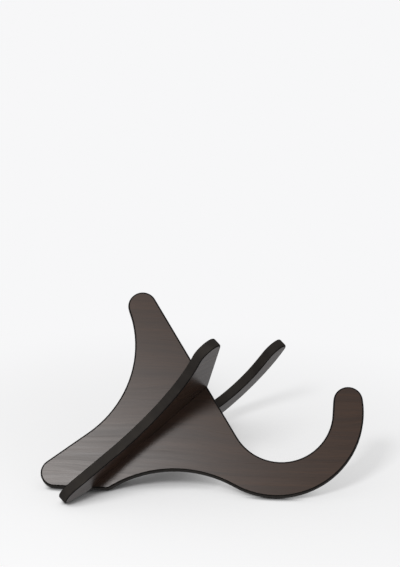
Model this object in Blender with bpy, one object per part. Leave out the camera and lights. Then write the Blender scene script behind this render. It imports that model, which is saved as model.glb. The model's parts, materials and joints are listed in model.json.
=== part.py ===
"""Ukulele stand: two flat boards of one outline, cut from a veneered panel, that slot together crosswise.

Each board has a foot at the rear, a raised arm to lean against, and a hook at the front that stops whatever
stands in it from sliding off. One slot is open at the board's front edge and the other at the foot's
underside, so the boards slide together along the line where their middle planes cross. The stand rests
on both boards' lower edges. Board A's hook points to -y, and board B mirrors it across the plane y = 0.
"""

import math

import bmesh
import bpy
from mathutils import Matrix, Vector

MM = 0.001

# Panel
CORE_THICKNESS = 7.8 * MM
VENEER_THICKNESS = 0.4 * MM
GLUE_LINE = 0.2 * MM
EASE = 1.5 * MM  # radius routed on every outer arris
THICKNESS = CORE_THICKNESS + 2 * (GLUE_LINE + VENEER_THICKNESS)

# Outline, in the board's own frame: u runs forward along the floor line, v up the board, w through it
BOARD_LENGTH = 280 * MM
BOARD_HEIGHT = 180 * MM
FOOT_RADIUS = 12.4 * MM
HEEL_POSITION = 58 * MM  # centre of the heel's round, from the rear end
HEEL_RADIUS = 6.5 * MM
ARCH_RISE = 19.6 * MM  # top of the arch between heel and hook, above the floor line
HOOK_RADIUS = 76.3 * MM  # outer curve of the hook
HOOK_BAND = 27.3 * MM  # width of the hook beside the seat
HOOK_WEB = 31 * MM  # height of the seat's lowest point above the floor line
SEAT_RADIUS = 45 * MM
TIP_DIRECTION = math.radians(10.8)  # of the hook's tip, seen from the centre of the outer curve
TIP_TAPER = 1.5 * MM  # how much narrower the tip is than the space between the two curves
ARM_POSITION = 79.6 * MM  # centre of the arm's round tip, from the rear end
ARM_RADIUS = 12.8 * MM
REAR_SLOPE = math.radians(38.4)  # of the straight rear edge above the foot
WAIST_RADIUS = 95.8 * MM  # concave curve of the rear edge below the arm
FACET_SAG = 0.05 * MM  # how far a facet's middle lies from its arc
EASE_FACETS = 3  # across the quarter round of an arris
SHARP_ANGLE = math.radians(40)  # edges that turn by less than this are shaded smooth

# Crossing of the boards
CROSSING_ANGLE = math.radians(90)
SLOT_ANGLE = math.radians(45)  # of the slot above the floor line, in the board
SLOT_POSITION = 39.2 * MM  # where the slot's centre line meets the floor line, from the rear end
SLOT_CLEARANCE = 0.3 * MM  # on each face of the board that the slot takes in
LAP_CLEARANCE = 0.3 * MM  # between the two slot bottoms
CUT_MARGIN = 10 * MM  # how far a cutter runs past what it cuts

# Finishes: sRGB colour and roughness
VENEER_FINISH = ("walnut_veneer", "#584C47", 0.5)
CORE_FINISH = ("painted_panel_core", "#2F302E", 0.6)


def linear(hex_colour):
    """The linear RGBA colour of an sRGB hex string, by the standard sRGB curve."""
    channels = [int(hex_colour[i : i + 2], 16) / 255 for i in (1, 3, 5)]
    return [c / 12.92 if c <= 0.04045 else ((c + 0.055) / 1.055) ** 2.4 for c in channels] + [1.0]


def finish(name, colour, roughness):
    """A plain non-metallic material."""
    material = bpy.data.materials.new(name)
    material.use_nodes = True
    shader = material.node_tree.nodes["Principled BSDF"]
    shader.inputs["Base Color"].default_value = linear(colour)
    shader.inputs["Roughness"].default_value = roughness
    shader.inputs["Metallic"].default_value = 0.0
    material.diffuse_color = linear(colour)
    return material


def polar(angle):
    """The unit vector at an angle from the u axis."""
    return Vector((math.cos(angle), math.sin(angle)))


def arch_round(heel, hook):
    """The concave round that touches the heel's and the hook's rounds and tops out at ARCH_RISE."""
    span = hook.x - heel.x
    run = (span - 2 * ARCH_RISE * (HOOK_RADIUS - HEEL_RADIUS) / span) / 2
    radius = run**2 / (2 * ARCH_RISE) - HEEL_RADIUS + ARCH_RISE / 2
    return Vector((heel.x + run, ARCH_RISE - radius)), -radius


def tip_round(hook, seat):
    """The hook's round tip, which touches the outer curve from inside and nearly fills the hook's band."""
    direction = polar(TIP_DIRECTION)
    offset = hook - seat
    along = offset.dot(direction)
    fills = offset.length_squared + 2 * HOOK_RADIUS * along + HOOK_RADIUS**2 - SEAT_RADIUS**2
    radius = fills / (2 * (SEAT_RADIUS + HOOK_RADIUS + along)) - TIP_TAPER / 2
    return hook + direction * (HOOK_RADIUS - radius), radius


def waist_round(foot, arm):
    """The concave round that touches the straight rear edge and the arm's tip."""
    edge = polar(REAR_SLOPE)
    outward = polar(REAR_SLOPE + math.pi / 2)
    base = foot + outward * (FOOT_RADIUS + WAIST_RADIUS)
    reach = arm - base
    touching = math.sqrt((WAIST_RADIUS + ARM_RADIUS) ** 2 - reach.dot(outward) ** 2)
    return base + edge * (reach.dot(edge) - touching), -WAIST_RADIUS


def rounds():
    """Centre and radius of each round, counter-clockwise from the foot. A concave radius is negative."""
    foot = Vector((FOOT_RADIUS, FOOT_RADIUS))
    heel = Vector((HEEL_POSITION, HEEL_RADIUS))
    hook = Vector((BOARD_LENGTH - HOOK_RADIUS, HOOK_RADIUS))
    seat = Vector((BOARD_LENGTH - HOOK_BAND - SEAT_RADIUS, HOOK_WEB + SEAT_RADIUS))
    arm = Vector((ARM_POSITION, BOARD_HEIGHT - ARM_RADIUS))
    return {
        "foot": (foot, FOOT_RADIUS),
        "heel": (heel, HEEL_RADIUS),
        "arch": arch_round(heel, hook),
        "hook": (hook, HOOK_RADIUS),
        "tip": tip_round(hook, seat),
        "seat": (seat, -SEAT_RADIUS),
        "arm": (arm, ARM_RADIUS),
        "waist": waist_round(foot, arm),
    }


def tangent(first, second):
    """Both ends of the straight edge from one round to the next, with the board on its left."""
    (centre_1, radius_1), (centre_2, radius_2) = first, second
    line = centre_2 - centre_1
    closing = max(-1.0, min(1.0, (radius_2 - radius_1) / line.length))
    inward = polar(math.atan2(line.y, line.x) + math.acos(closing))
    return centre_1 - inward * radius_1, centre_2 - inward * radius_2


def arc(centre, radius, start, end):
    """Points of a round from start to end: counter-clockwise if it's convex, clockwise if it's concave."""
    first = math.atan2(start.y - centre.y, start.x - centre.x)
    last = math.atan2(end.y - centre.y, end.x - centre.x)
    turn = math.copysign(1, radius)
    sweep = ((last - first) * turn) % math.tau
    facet = 2 * math.acos(1 - FACET_SAG / abs(radius))
    count = max(1, math.ceil(sweep / facet))
    return [centre + polar(first + turn * sweep * i / count) * abs(radius) for i in range(count + 1)]


def outline(inset):
    """The board's closed outline, moved inwards by a distance."""
    moved = [(centre, radius - inset) for centre, radius in rounds().values()]
    edges = [tangent(moved[i - 1], moved[i]) for i in range(len(moved))]
    points = []
    for i, (centre, radius) in enumerate(moved):
        start = edges[i][1]
        end = edges[(i + 1) % len(moved)][0]
        for point in arc(centre, radius, start, end):
            if not points or (point - points[-1]).length > FACET_SAG:
                points.append(point)
    return points


def crossing_length():
    """Length of the slots' centre line, from the foot's underside to the straight front edge."""
    shape = rounds()
    start, end = tangent(shape["seat"], shape["arm"])
    edge = end - start
    direction = polar(SLOT_ANGLE)
    reach = start - Vector((SLOT_POSITION, 0))
    return (reach.x * edge.y - reach.y * edge.x) / (direction.x * edge.y - direction.y * edge.x)


def collection(name):
    made = bpy.data.collections.new(name)
    bpy.context.scene.collection.children.link(made)
    return made


def empty(name, parent, matrix, group):
    """An empty that carries pieces or cutters."""
    carrier = bpy.data.objects.new(name, None)
    carrier.empty_display_size = THICKNESS
    carrier.parent = parent
    carrier.matrix_local = matrix
    group.objects.link(carrier)
    return carrier


def board_mesh(group):
    """The whole board as one closed mesh, centred on its middle plane, with its outer arrises eased."""
    curve = bpy.data.curves.new("board_outline", "CURVE")
    curve.dimensions = "2D"
    curve.fill_mode = "BOTH"
    curve.extrude = THICKNESS / 2 - EASE
    curve.bevel_depth = EASE
    curve.bevel_resolution = EASE_FACETS - 1
    points = outline(EASE)
    spline = curve.splines.new("POLY")
    spline.points.add(len(points) - 1)
    for spline_point, point in zip(spline.points, points):
        spline_point.co = (point.x, point.y, 0, 1)
    spline.use_cyclic_u = True
    guide = bpy.data.objects.new("board_outline", curve)
    group.objects.link(guide)
    graph = bpy.context.evaluated_depsgraph_get()
    mesh = bpy.data.meshes.new_from_object(guide.evaluated_get(graph))
    bpy.data.objects.remove(guide)
    mesh.name = "board"
    mesh.materials.clear()
    return welded(mesh)


def welded(mesh):
    """Joins the caps to the sides and turns each flat face into one polygon."""
    shape = bmesh.new()
    shape.from_mesh(mesh)
    bmesh.ops.remove_doubles(shape, verts=shape.verts, dist=0.001 * MM)
    flat = math.radians(0.1)
    bmesh.ops.dissolve_limit(shape, angle_limit=flat, verts=shape.verts, edges=shape.edges)
    bmesh.ops.recalc_face_normals(shape, faces=shape.faces)
    shape.to_mesh(mesh)
    shape.free()
    mesh.shade_smooth()
    mesh.set_sharp_from_angle(angle=SHARP_ANGLE)
    return mesh


def box_cutter(name, low, high, parent, matrix, group):
    """A box between two corners, in the frame of what it is parented to."""
    shape = bmesh.new()
    bmesh.ops.create_cube(shape, size=1)
    size = Vector(high) - Vector(low)
    middle = (Vector(high) + Vector(low)) / 2
    placed = Matrix.Translation(middle) @ Matrix.Diagonal((*size, 1))
    bmesh.ops.transform(shape, matrix=placed, verts=shape.verts)
    mesh = bpy.data.meshes.new(name)
    shape.to_mesh(mesh)
    shape.free()
    cutter = bpy.data.objects.new(name, mesh)
    cutter.parent = parent
    cutter.matrix_local = matrix
    cutter.hide_render = True
    cutter.display_type = "WIRE"
    group.objects.link(cutter)
    return cutter


def cut(piece, cutter, operation):
    """Adds a Boolean that keeps what is inside the cutter, or takes it away."""
    boolean = piece.modifiers.new(f"{operation.lower()}_{cutter.name}", "BOOLEAN")
    boolean.operation = operation
    boolean.solver = "EXACT"
    boolean.object = cutter


def layers(outer_side):
    """Material, lowest w and highest w of each layer, for a board whose outer face is at +w or -w."""
    core = CORE_THICKNESS / 2
    skin = core + GLUE_LINE
    beyond = THICKNESS / 2 + CUT_MARGIN
    found = {"core_board": (CORE_FINISH[0], -core, core)}
    for name, side in (("veneer_outer", outer_side), ("veneer_inner", -outer_side)):
        low, high = sorted((side * skin, side * beyond))
        found[name] = (VENEER_FINISH[0], low, high)
    return found


def add_board(letter, mesh, carrier, outer_side, slot_cutter, groups):
    """The three layers of one board, sliced from the same eased and slotted shape."""
    reach = BOARD_LENGTH + BOARD_HEIGHT
    for name, (material, low, high) in layers(outer_side).items():
        piece = bpy.data.objects.new(f"{name}_{letter}", mesh.copy())
        piece.data.materials.append(bpy.data.materials[material])
        piece.parent = carrier
        groups["parts"].objects.link(piece)
        corners = (-reach, -reach, low), (reach, reach, high)
        slab = box_cutter(f"slab_{piece.name}", *corners, carrier, Matrix(), groups["cutters"])
        cut(piece, slab, "INTERSECT")
        cut(piece, slot_cutter, "DIFFERENCE")


def joint_frame():
    """The frame of the crossing line: X runs up along it, and it meets the floor line at the origin."""
    pitch = math.atan(math.tan(SLOT_ANGLE) * math.cos(CROSSING_ANGLE / 2))
    return Matrix.Rotation(-pitch, 4, "Y")


def board_frame(side):
    """A board's frame in the joint's frame. Side 1 is board A, whose hook points to -y, and -1 is board B."""
    roll = Matrix.Rotation(-side * (math.pi / 2 - CROSSING_ANGLE / 2), 4, "X")
    upright = Matrix.Rotation(math.pi / 2, 4, "X")
    in_plane = Matrix.Rotation(-SLOT_ANGLE, 4, "Z") @ Matrix.Translation((-SLOT_POSITION, 0, 0))
    return roll @ upright @ in_plane


def slot_box(side, start, end, name, parent, group):
    """A cutter as thick as one side's board and its clearances, from start to end of the crossing line."""
    half = THICKNESS / 2 + SLOT_CLEARANCE
    reach = THICKNESS / math.sin(CROSSING_ANGLE) + CUT_MARGIN
    slot_foot = board_frame(side) @ Matrix.Translation((SLOT_POSITION, 0, 0))
    along_slot = slot_foot @ Matrix.Rotation(SLOT_ANGLE, 4, "Z")
    return box_cutter(name, (start, -reach, -half), (end, reach, half), parent, along_slot, group)


def world_box(pieces):
    """Lowest and highest corners of the finished pieces."""
    bpy.context.view_layer.update()
    graph = bpy.context.evaluated_depsgraph_get()
    corners = []
    for piece in pieces:
        ready = piece.evaluated_get(graph)
        corners += [ready.matrix_world @ vertex.co for vertex in ready.data.vertices]
    return [min(c[i] for c in corners) for i in range(3)], [max(c[i] for c in corners) for i in range(3)]


def main():
    for leftover in list(bpy.data.objects):
        bpy.data.objects.remove(leftover)
    groups = {"parts": collection("ukulele_stand"), "cutters": collection("cutters")}
    finish(*VENEER_FINISH)
    finish(*CORE_FINISH)

    stand = empty("stand", None, Matrix(), groups["parts"])
    crossing = empty("crossing_line", stand, joint_frame(), groups["parts"])
    slide = empty("slide_board_b", crossing, Matrix(), groups["parts"])
    carrier_a = empty("frame_board_a", crossing, board_frame(1), groups["parts"])
    carrier_b = empty("frame_board_b", slide, board_frame(-1), groups["parts"])

    length = crossing_length()
    past = CUT_MARGIN + THICKNESS
    bottom_a = length / 2 - LAP_CLEARANCE / 2
    bottom_b = length / 2 + LAP_CLEARANCE / 2
    slot_a = slot_box(-1, bottom_a, length + past, "slot_board_a", crossing, groups["cutters"])
    slot_b = slot_box(1, -past, bottom_b, "slot_board_b", slide, groups["cutters"])

    mesh = board_mesh(groups["cutters"])
    add_board("a", mesh, carrier_a, 1, slot_a, groups)
    add_board("b", mesh, carrier_b, -1, slot_b, groups)

    pieces = [piece for piece in groups["parts"].objects if piece.type == "MESH"]
    low, high = world_box(pieces)
    stand.location = (-(low[0] + high[0]) / 2, -(low[1] + high[1]) / 2, -low[2])


main()
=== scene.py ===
"""Looks of the stand: two crossed boards with walnut veneer on both faces and painted edges.

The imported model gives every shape. This script dresses it, sets it on white paper in soft studio light,
and puts the camera where the photograph was taken from.
"""

import json
import math

import bpy
from mathutils import Matrix, Vector

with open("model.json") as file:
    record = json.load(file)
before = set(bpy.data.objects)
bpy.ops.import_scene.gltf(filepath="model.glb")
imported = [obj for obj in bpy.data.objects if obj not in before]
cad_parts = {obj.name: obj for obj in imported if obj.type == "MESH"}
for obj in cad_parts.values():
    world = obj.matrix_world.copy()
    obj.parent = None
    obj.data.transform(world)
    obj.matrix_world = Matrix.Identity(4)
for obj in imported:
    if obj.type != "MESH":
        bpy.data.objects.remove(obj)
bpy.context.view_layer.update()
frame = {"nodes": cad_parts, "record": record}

MM = 0.001

# Camera, worked out from the boards' edges in the photograph
CAMERA_AZIMUTH = math.radians(-26.98)
CAMERA_ELEVATION = math.radians(18.24)
CAMERA_ROLL = math.radians(1.45)
CAMERA_PLACE = Vector((-0.7419, -1.4703, 0.7208))
FOCAL_PIXELS = 2000
FRAME_HEIGHT_PIXELS = 567
SENSOR_MM = 36.0
NEAREST = 0.05
FARTHEST = 30

# Boards, as in the model
HALF_THICKNESS_MM = 4.5
EASE_MM = 1.5
RIM_STARTS_BELOW_FACE_MM = 0.01

# Walnut veneer: length along the board and width across it of each kind of streak, in millimetres
DRIFT_MM = (170, 50)
DRIFT_SIDEWAYS_MM = 26.0
FLITCH_MM = (260, 7.0)
GROWTH_MM = (90, 2.2)
FIBRE_MM = (30, 0.9)
PORE_MM = (8, 0.32)
NEXT_LEAF_MM = (37.0, 91.0)

# Walnut veneer: noise values between which each kind of streak comes in
FLITCH_SHOWS = (0.34, 0.66)
GROWTH_SHOWS = (0.45, 0.7)
FIBRE_SHOWS = (0.35, 0.7)
PORE_SHOWS = (0.56, 0.68)
OIL_VARIES = (0.3, 0.7)

# Walnut veneer: colours, how strongly each darker streak shows, and sheen
WALNUT_DARK = "#3B2D26"
WALNUT_LIGHT = "#49362B"
GROWTH_LINE = "#2C211C"
GROWTH_SHARE = 0.45
FIBRE_THREAD = "#35271F"
FIBRE_SHARE = 0.5
PORE_SHADOW = "#1D1613"
PORE_SHARE = 0.3
OILED_ROUGHNESS = (0.26, 0.32)
GRAIN_DEPTH_MM = 0.03
GRAIN_RELIEF = 0.05

# Oil and paint: the index of both films, and how strongly they mirror
FILM_IOR = 1.5
SPECULAR_LEVEL = 0.23

# Edge paint
# The rim colour is the near-black edge paint, darkened further as painted shade on the eased rim.
RIM_PAINT_AND_SHADE = "#0F0D0C"
RIM_ROUGHNESS = 0.92
PAINT_DARK = "#25211E"
PAINT_LIGHT = "#2F2B27"
PAINT_RUBBED = "#45403B"
PAINT_ROUGHNESS = (0.72, 0.86)
PATCH_MM = 11
TONE_VARIES = (0.35, 0.65)
DULLNESS_VARIES = (0.3, 0.7)
CROWN_BELOW_FACE_MM = 0.6 * EASE_MM
RUBBED_THREAD_MM = (0.1, 0.5)  # distances from the crown of the arris between which the rubbing fades
HANDLED_SHOWS = (0.5, 0.7)
HANDLED_SHARE = 0.6
RUBBED_SMOOTHER_BY = -0.2
PEBBLE_MM = 0.7
PEBBLE_DEPTH_MM = 0.05
PEBBLE_RELIEF = 0.3

# Light
SOFT_BOX_AZIMUTH = math.radians(-44.0)
SOFT_BOX_ELEVATION = math.radians(41.8)
SOFT_BOX_DISTANCE = 1.45
SOFT_BOX_TARGET = Vector((-0.05, 0, 0.05))
SOFT_BOX_SIZE = 0.28
SOFT_BOX_POWER = 10.4
SURROUND = 0.46

# White paper
FLOOR_REACH = 6.0  # metres from the middle to each side
CARD_SHARE = 0.6  # how much of what the camera sees of the paper takes cast shadows
WASH = 0.47  # brightness of the even wash over the rest
CONTACT_REACH = 0.07  # how far from the boards the painted contact shade on the wash reaches, in metres
CONTACT = (0.22, 0.54)  # open-sky shares over which the wash rises from nothing to full: painted contact shade
OPEN_SKY_SAMPLES = 16
FADE = (0.13, 0.4)  # distances from the stand between which the paper turns to even white, in metres
PAPER_WHITE = "#F7F7F8"
PAPER_BOUNCE = "#B4B4B6"
PAPER_MIRRORED = 0.35  # how much of the even white shows in the boards' sheen
WHITE = "#FFFFFF"

COLOUR_A, COLOUR_B, COLOUR_OUT = 6, 7, 2  # sockets of a Mix node that mixes colours


def linear(hex_colour):
    """Linear RGBA of an sRGB hex colour."""
    channels = [int(hex_colour[i : i + 2], 16) / 255 for i in (1, 3, 5)]
    return [c / 12.92 if c <= 0.04045 else ((c + 0.055) / 1.055) ** 2.4 for c in channels] + [1.0]


def add_node(tree, kind, inputs=None, **settings):
    """A node of one kind with its settings. An input is a value, or the socket that it's linked from."""
    node = tree.nodes.new(kind)
    for name, value in settings.items():
        setattr(node, name, value)
    for key, value in (inputs or {}).items():
        socket = node.inputs[key]
        if isinstance(value, bpy.types.NodeSocket):
            tree.links.new(value, socket)
        else:
            socket.default_value = value
    return node


def new_material(name):
    """An empty node material and its tree."""
    material = bpy.data.materials.new(name)
    material.use_nodes = True
    tree = material.node_tree
    tree.nodes.clear()
    return material, tree


def board_frame(letter):
    """A board's frame, from the pad mount under its foot: X along the floor line, Y up, Z through it."""
    mount = next(m for m in frame["record"]["mounts"] if m["name"] == f"foot_underside_{letter}")
    up = -Vector(mount["axis"]).normalized()
    along = up.cross(Vector((0, 0, 1))).normalized() * (1 if letter == "a" else -1)
    turned = Matrix((along, up, along.cross(up))).transposed().to_4x4()
    return Matrix.Translation(Vector(mount["pos_m"])) @ turned


def board_coordinates(tree, letter):
    """Place on a board in its own frame, in millimetres from the middle of the foot's underside."""
    placed = board_frame(letter)
    position = add_node(tree, "ShaderNodeTexCoord").outputs["Object"]
    return add_node(
        tree,
        "ShaderNodeMapping",
        {
            "Vector": position,
            "Location": placed.translation,
            "Rotation": placed.to_euler(),
            "Scale": (MM, MM, MM),
        },
        vector_type="TEXTURE",
    ).outputs["Vector"]


def height_from_middle(tree, place):
    """How far a point lies from the board's middle plane, in millimetres."""
    depth = add_node(tree, "ShaderNodeSeparateXYZ", {"Vector": place}).outputs["Z"]
    return add_node(tree, "ShaderNodeMath", {0: depth}, operation="ABSOLUTE").outputs[0]


def streaks(tree, place, size_mm, detail, roughness):
    """Noise drawn out along the board, about 0.5 on average, for one length and width of streak."""
    length, width = size_mm
    stretched = add_node(
        tree,
        "ShaderNodeMapping",
        {"Vector": place, "Scale": (1 / length, 1 / width, 1 / width)},
        vector_type="POINT",
    ).outputs["Vector"]
    noise = {"Vector": stretched, "Scale": 1.0, "Detail": detail, "Roughness": roughness}
    return add_node(tree, "ShaderNodeTexNoise", noise).outputs["Fac"]


def wandering(tree, place, leaf):
    """The board's coordinates, moved to their own leaf of the log and bent a little."""
    along, across = NEXT_LEAF_MM
    log = {"Vector": place, "Location": (along * leaf, across * leaf, 0)}
    shifted = add_node(tree, "ShaderNodeMapping", log, vector_type="POINT").outputs["Vector"]
    drift = streaks(tree, shifted, DRIFT_MM, 2.0, 0.5)
    sideways = add_node(
        tree, "ShaderNodeMath", {0: drift, 1: DRIFT_SIDEWAYS_MM}, operation="MULTIPLY"
    ).outputs[0]
    bend = add_node(tree, "ShaderNodeCombineXYZ", {"Y": sideways}).outputs["Vector"]
    bent = add_node(tree, "ShaderNodeVectorMath", {0: shifted, 1: bend}, operation="ADD")
    return bent.outputs["Vector"]


def walnut_veneer(name, letter, leaf):
    """Walnut sliced for veneer, stained dark and rubbed with satin oil.

    The eye gets fine straight grain along the board, faint darker growth lines, open pores and a soft
    sheen that breaks up along the grain. The paint of the panel's edge covers the eased rim, and there it
    is drawn far darker than on the edge itself, as painted shade. Pores are drawn about twice as wide as
    real ones, or they would vanish in a picture of the whole stand.
    """
    material, tree = new_material(name)
    place = board_coordinates(tree, letter)
    grain = wandering(tree, place, leaf)
    flitch = streaks(tree, grain, FLITCH_MM, 3.0, 0.55)
    growth = streaks(tree, grain, GROWTH_MM, 4.0, 0.6)
    fibre = streaks(tree, grain, FIBRE_MM, 3.0, 0.6)
    pores = streaks(tree, grain, PORE_MM, 2.0, 0.5)

    tone = add_node(
        tree,
        "ShaderNodeMapRange",
        {"Value": flitch, "From Min": FLITCH_SHOWS[0], "From Max": FLITCH_SHOWS[1]},
    ).outputs["Result"]
    ground = add_node(
        tree,
        "ShaderNodeMix",
        {"Factor": tone, COLOUR_A: linear(WALNUT_DARK), COLOUR_B: linear(WALNUT_LIGHT)},
        data_type="RGBA",
    ).outputs[COLOUR_OUT]
    line = add_node(
        tree,
        "ShaderNodeMapRange",
        {
            "Value": growth,
            "From Min": GROWTH_SHOWS[0],
            "From Max": GROWTH_SHOWS[1],
            "To Max": GROWTH_SHARE,
        },
    ).outputs["Result"]
    lined = add_node(
        tree,
        "ShaderNodeMix",
        {"Factor": line, COLOUR_A: ground, COLOUR_B: linear(GROWTH_LINE)},
        data_type="RGBA",
    ).outputs[COLOUR_OUT]
    thread = add_node(
        tree,
        "ShaderNodeMapRange",
        {"Value": fibre, "From Min": FIBRE_SHOWS[0], "From Max": FIBRE_SHOWS[1], "To Max": FIBRE_SHARE},
    ).outputs["Result"]
    threaded = add_node(
        tree,
        "ShaderNodeMix",
        {"Factor": thread, COLOUR_A: lined, COLOUR_B: linear(FIBRE_THREAD)},
        data_type="RGBA",
    ).outputs[COLOUR_OUT]
    pore = add_node(
        tree,
        "ShaderNodeMapRange",
        {"Value": pores, "From Min": PORE_SHOWS[0], "From Max": PORE_SHOWS[1]},
    ).outputs["Result"]
    pore_tint = add_node(
        tree, "ShaderNodeMath", {0: pore, 1: PORE_SHARE}, operation="MULTIPLY"
    ).outputs[0]
    wood = add_node(
        tree,
        "ShaderNodeMix",
        {"Factor": pore_tint, COLOUR_A: threaded, COLOUR_B: linear(PORE_SHADOW)},
        data_type="RGBA",
    ).outputs[COLOUR_OUT]

    # The eased rim takes the edge paint, darkened as painted shade. The flat face keeps its wood.
    rim_paint_and_shade = add_node(
        tree,
        "ShaderNodeMath",
        {0: height_from_middle(tree, place), 1: HALF_THICKNESS_MM - RIM_STARTS_BELOW_FACE_MM},
        operation="LESS_THAN",
    ).outputs[0]
    colour = add_node(
        tree,
        "ShaderNodeMix",
        {"Factor": rim_paint_and_shade, COLOUR_A: wood, COLOUR_B: linear(RIM_PAINT_AND_SHADE)},
        data_type="RGBA",
    ).outputs[COLOUR_OUT]

    oiled = add_node(
        tree,
        "ShaderNodeMapRange",
        {
            "Value": growth,
            "From Min": OIL_VARIES[0],
            "From Max": OIL_VARIES[1],
            "To Min": OILED_ROUGHNESS[0],
            "To Max": OILED_ROUGHNESS[1],
        },
    ).outputs["Result"]
    rim = add_node(
        tree, "ShaderNodeMath", {0: rim_paint_and_shade, 1: RIM_ROUGHNESS}, operation="MULTIPLY"
    ).outputs[0]
    roughness = add_node(tree, "ShaderNodeMath", {0: oiled, 1: rim}, operation="MAXIMUM").outputs[0]

    surface = add_node(tree, "ShaderNodeMath", {0: fibre, 1: pore}, operation="SUBTRACT").outputs[0]
    relief = add_node(
        tree,
        "ShaderNodeBump",
        {"Height": surface, "Strength": GRAIN_RELIEF, "Distance": GRAIN_DEPTH_MM * MM},
    ).outputs["Normal"]
    shader = add_node(
        tree,
        "ShaderNodeBsdfPrincipled",
        {
            "Base Color": colour,
            "Roughness": roughness,
            "Normal": relief,
            "IOR": FILM_IOR,
            "Specular IOR Level": SPECULAR_LEVEL,
        },
    )
    add_node(tree, "ShaderNodeOutputMaterial", {"Surface": shader.outputs["BSDF"]})
    return material


def painted_edge(name, letter):
    """Matt water-based paint rolled on a sanded panel edge.

    The eye gets near-black with a fine pebbled skin, slow changes of tone and dullness, and a slightly
    lighter, smoother thread along each arris where hands have rubbed it.
    """
    material, tree = new_material(name)
    place = board_coordinates(tree, letter)
    pebble = add_node(
        tree, "ShaderNodeTexNoise", {"Vector": place, "Scale": 1 / PEBBLE_MM, "Detail": 3.0}
    ).outputs["Fac"]
    patches = add_node(
        tree, "ShaderNodeTexNoise", {"Vector": place, "Scale": 1 / PATCH_MM, "Detail": 4.0}
    ).outputs["Fac"]
    tone = add_node(
        tree,
        "ShaderNodeMapRange",
        {"Value": patches, "From Min": TONE_VARIES[0], "From Max": TONE_VARIES[1]},
    ).outputs["Result"]
    paint = add_node(
        tree,
        "ShaderNodeMix",
        {"Factor": tone, COLOUR_A: linear(PAINT_DARK), COLOUR_B: linear(PAINT_LIGHT)},
        data_type="RGBA",
    ).outputs[COLOUR_OUT]

    beside_crown = add_node(
        tree,
        "ShaderNodeMath",
        {0: height_from_middle(tree, place), 1: HALF_THICKNESS_MM - CROWN_BELOW_FACE_MM},
        operation="SUBTRACT",
    ).outputs[0]
    off_crown = add_node(tree, "ShaderNodeMath", {0: beside_crown}, operation="ABSOLUTE").outputs[0]
    crown = add_node(
        tree,
        "ShaderNodeMapRange",
        {
            "Value": off_crown,
            "From Min": RUBBED_THREAD_MM[0],
            "From Max": RUBBED_THREAD_MM[1],
            "To Min": 1.0,
            "To Max": 0.0,
        },
    ).outputs["Result"]
    handled = add_node(
        tree,
        "ShaderNodeMapRange",
        {
            "Value": patches,
            "From Min": HANDLED_SHOWS[0],
            "From Max": HANDLED_SHOWS[1],
            "To Max": HANDLED_SHARE,
        },
    ).outputs["Result"]
    rubbed = add_node(tree, "ShaderNodeMath", {0: crown, 1: handled}, operation="MULTIPLY").outputs[0]
    colour = add_node(
        tree,
        "ShaderNodeMix",
        {"Factor": rubbed, COLOUR_A: paint, COLOUR_B: linear(PAINT_RUBBED)},
        data_type="RGBA",
    ).outputs[COLOUR_OUT]

    dullness = add_node(
        tree,
        "ShaderNodeMapRange",
        {
            "Value": patches,
            "From Min": DULLNESS_VARIES[0],
            "From Max": DULLNESS_VARIES[1],
            "To Min": PAINT_ROUGHNESS[0],
            "To Max": PAINT_ROUGHNESS[1],
        },
    ).outputs["Result"]
    smoothed = add_node(
        tree, "ShaderNodeMath", {0: rubbed, 1: RUBBED_SMOOTHER_BY}, operation="MULTIPLY"
    ).outputs[0]
    roughness = add_node(tree, "ShaderNodeMath", {0: dullness, 1: smoothed}, operation="ADD").outputs[0]

    relief = add_node(
        tree,
        "ShaderNodeBump",
        {"Height": pebble, "Strength": PEBBLE_RELIEF, "Distance": PEBBLE_DEPTH_MM * MM},
    ).outputs["Normal"]
    shader = add_node(
        tree,
        "ShaderNodeBsdfPrincipled",
        {
            "Base Color": colour,
            "Roughness": roughness,
            "Normal": relief,
            "IOR": FILM_IOR,
            "Specular IOR Level": SPECULAR_LEVEL,
        },
    )
    add_node(tree, "ShaderNodeOutputMaterial", {"Surface": shader.outputs["BSDF"]})
    return material


def dress(node, material):
    """Puts one material in every slot of a CAD node."""
    slots = frame["nodes"][node].data.materials
    if not len(slots):
        slots.append(material)
    for index in range(len(slots)):
        slots[index] = material


def dress_boards():
    """Paint on both cores, and on each of the four veneers a walnut from another part of the log."""
    leaf = 1
    for letter in ("a", "b"):
        dress(f"core_board_{letter}", painted_edge(f"matt_paint_on_panel_edge_{letter}", letter))
        for face in ("outer", "inner"):
            veneer = walnut_veneer(f"oiled_walnut_veneer_{face}_{letter}", letter, leaf)
            dress(f"veneer_{face}_{letter}", veneer)
            leaf += 1


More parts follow.
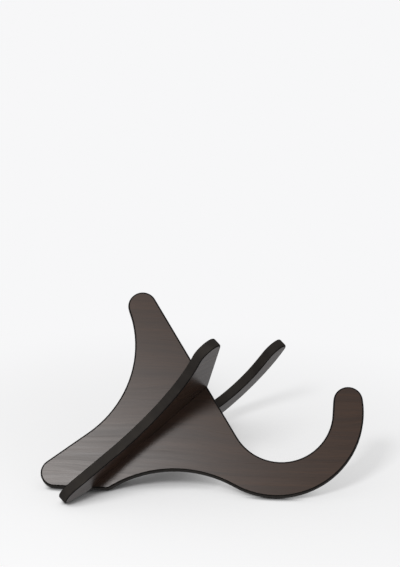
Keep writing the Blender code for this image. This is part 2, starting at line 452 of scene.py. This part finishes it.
def white_paper(name):
    """Seamless white paper, lit brightly enough that cast shadows stay faint.

    The camera sees a card that takes shadows, under an even glowing wash, and even white further out.
    Close to the boards the wash is dimmed as painted contact shade. Light that bounces sees plain pale
    paper, and the sheen of the boards mirrors a part of the white.
    """
    material, tree = new_material(name)
    place = add_node(tree, "ShaderNodeTexCoord").outputs["Object"]
    distance = add_node(tree, "ShaderNodeVectorMath", {0: place}, operation="LENGTH").outputs["Value"]
    fade = add_node(
        tree,
        "ShaderNodeMapRange",
        {"Value": distance, "From Min": FADE[0], "From Max": FADE[1]},
        interpolation_type="SMOOTHSTEP",
    ).outputs["Result"]
    share = [CARD_SHARE * channel for channel in linear(PAPER_WHITE)[:3]] + [1.0]
    card = add_node(tree, "ShaderNodeBsdfDiffuse", {"Color": share}).outputs["BSDF"]
    # Painted contact shade: the glowing wash is dimmed where the boards hide the sky around the paper.
    open_sky = add_node(
        tree, "ShaderNodeAmbientOcclusion", {"Distance": CONTACT_REACH}, samples=OPEN_SKY_SAMPLES
    ).outputs["AO"]
    contact = add_node(
        tree, "ShaderNodeMapRange", {"Value": open_sky, "From Min": CONTACT[0], "From Max": CONTACT[1]}
    ).outputs["Result"]
    strength = add_node(tree, "ShaderNodeMath", {0: contact, 1: WASH}, operation="MULTIPLY").outputs[0]
    wash = add_node(
        tree, "ShaderNodeEmission", {"Color": linear(WHITE), "Strength": strength}
    ).outputs[0]
    near = add_node(tree, "ShaderNodeAddShader", {0: card, 1: wash}).outputs[0]
    far = add_node(
        tree, "ShaderNodeEmission", {"Color": linear(PAPER_WHITE), "Strength": 1.0}
    ).outputs[0]
    seen = add_node(tree, "ShaderNodeMixShader", {"Fac": fade, 1: near, 2: far}).outputs[0]
    bounced = add_node(tree, "ShaderNodeBsdfDiffuse", {"Color": linear(PAPER_BOUNCE)}).outputs["BSDF"]
    ray = add_node(tree, "ShaderNodeLightPath").outputs
    mirrored = add_node(
        tree, "ShaderNodeMath", {0: ray["Is Glossy Ray"], 1: PAPER_MIRRORED}, operation="MULTIPLY"
    ).outputs[0]
    reflected = add_node(tree, "ShaderNodeMixShader", {"Fac": mirrored, 1: bounced, 2: far}).outputs[0]
    shown = add_node(
        tree, "ShaderNodeMixShader", {"Fac": ray["Is Camera Ray"], 1: reflected, 2: seen}
    ).outputs[0]
    add_node(tree, "ShaderNodeOutputMaterial", {"Surface": shown})
    return material


def add_floor():
    """A large pale floor."""
    mesh = bpy.data.meshes.new("studio_floor")
    corners = [
        (-FLOOR_REACH, -FLOOR_REACH, 0),
        (FLOOR_REACH, -FLOOR_REACH, 0),
        (FLOOR_REACH, FLOOR_REACH, 0),
        (-FLOOR_REACH, FLOOR_REACH, 0),
    ]
    mesh.from_pydata(corners, [], [(0, 1, 2, 3)])
    floor = bpy.data.objects.new("studio_floor", mesh)
    bpy.context.scene.collection.objects.link(floor)
    mesh.materials.append(white_paper("seamless_white_paper"))


def direction(azimuth, elevation):
    """The unit vector from the stand towards a viewer or lamp. Azimuth 0 is the front, -Y."""
    flat = math.cos(elevation)
    return Vector((math.sin(azimuth) * flat, -math.cos(azimuth) * flat, math.sin(elevation)))


def add_soft_box():
    """A square soft box above and to the left of the camera, whose sheen lies on the foot."""
    lamp = bpy.data.lights.new("soft_box", "AREA")
    lamp.shape = "SQUARE"
    lamp.size = SOFT_BOX_SIZE
    lamp.energy = SOFT_BOX_POWER
    holder = bpy.data.objects.new("soft_box", lamp)
    outwards = direction(SOFT_BOX_AZIMUTH, SOFT_BOX_ELEVATION)
    holder.location = SOFT_BOX_TARGET + outwards * SOFT_BOX_DISTANCE
    holder.rotation_euler = (-outwards).to_track_quat("-Z", "Y").to_euler()
    holder.visible_camera = False
    bpy.context.scene.collection.objects.link(holder)


def add_surround():
    """An even pale surround that looks white from the camera."""
    world = bpy.data.worlds.new("studio_surround")
    bpy.context.scene.world = world
    world.use_nodes = True
    tree = world.node_tree
    tree.nodes.clear()
    light = add_node(tree, "ShaderNodeBackground", {"Color": linear(WHITE), "Strength": SURROUND})
    backdrop = add_node(tree, "ShaderNodeBackground", {"Color": linear(WHITE), "Strength": 1.0})
    camera_ray = add_node(tree, "ShaderNodeLightPath").outputs["Is Camera Ray"]
    shown = add_node(
        tree, "ShaderNodeMixShader", {"Fac": camera_ray, 1: light.outputs[0], 2: backdrop.outputs[0]}
    )
    add_node(tree, "ShaderNodeOutputWorld", {"Surface": shown.outputs[0]})


def add_camera():
    """The camera, at the photograph's place, angle and focal length."""
    camera = bpy.data.cameras.new("photo_view")
    camera.sensor_width = SENSOR_MM
    camera.lens = FOCAL_PIXELS / FRAME_HEIGHT_PIXELS * SENSOR_MM
    camera.clip_start = NEAREST
    camera.clip_end = FARTHEST
    holder = bpy.data.objects.new("photo_view", camera)
    back = direction(CAMERA_AZIMUTH, CAMERA_ELEVATION)
    level = Vector((math.cos(CAMERA_AZIMUTH), math.sin(CAMERA_AZIMUTH), 0))
    right = level * math.cos(CAMERA_ROLL) + back.cross(level) * math.sin(CAMERA_ROLL)
    turned = Matrix((right, back.cross(right), back)).transposed().to_4x4()
    holder.matrix_world = Matrix.Translation(CAMERA_PLACE) @ turned
    bpy.context.scene.collection.objects.link(holder)
    bpy.context.scene.camera = holder


dress_boards()
add_floor()
add_soft_box()
add_surround()
add_camera()
bpy.context.scene.view_settings.view_transform = "Standard"
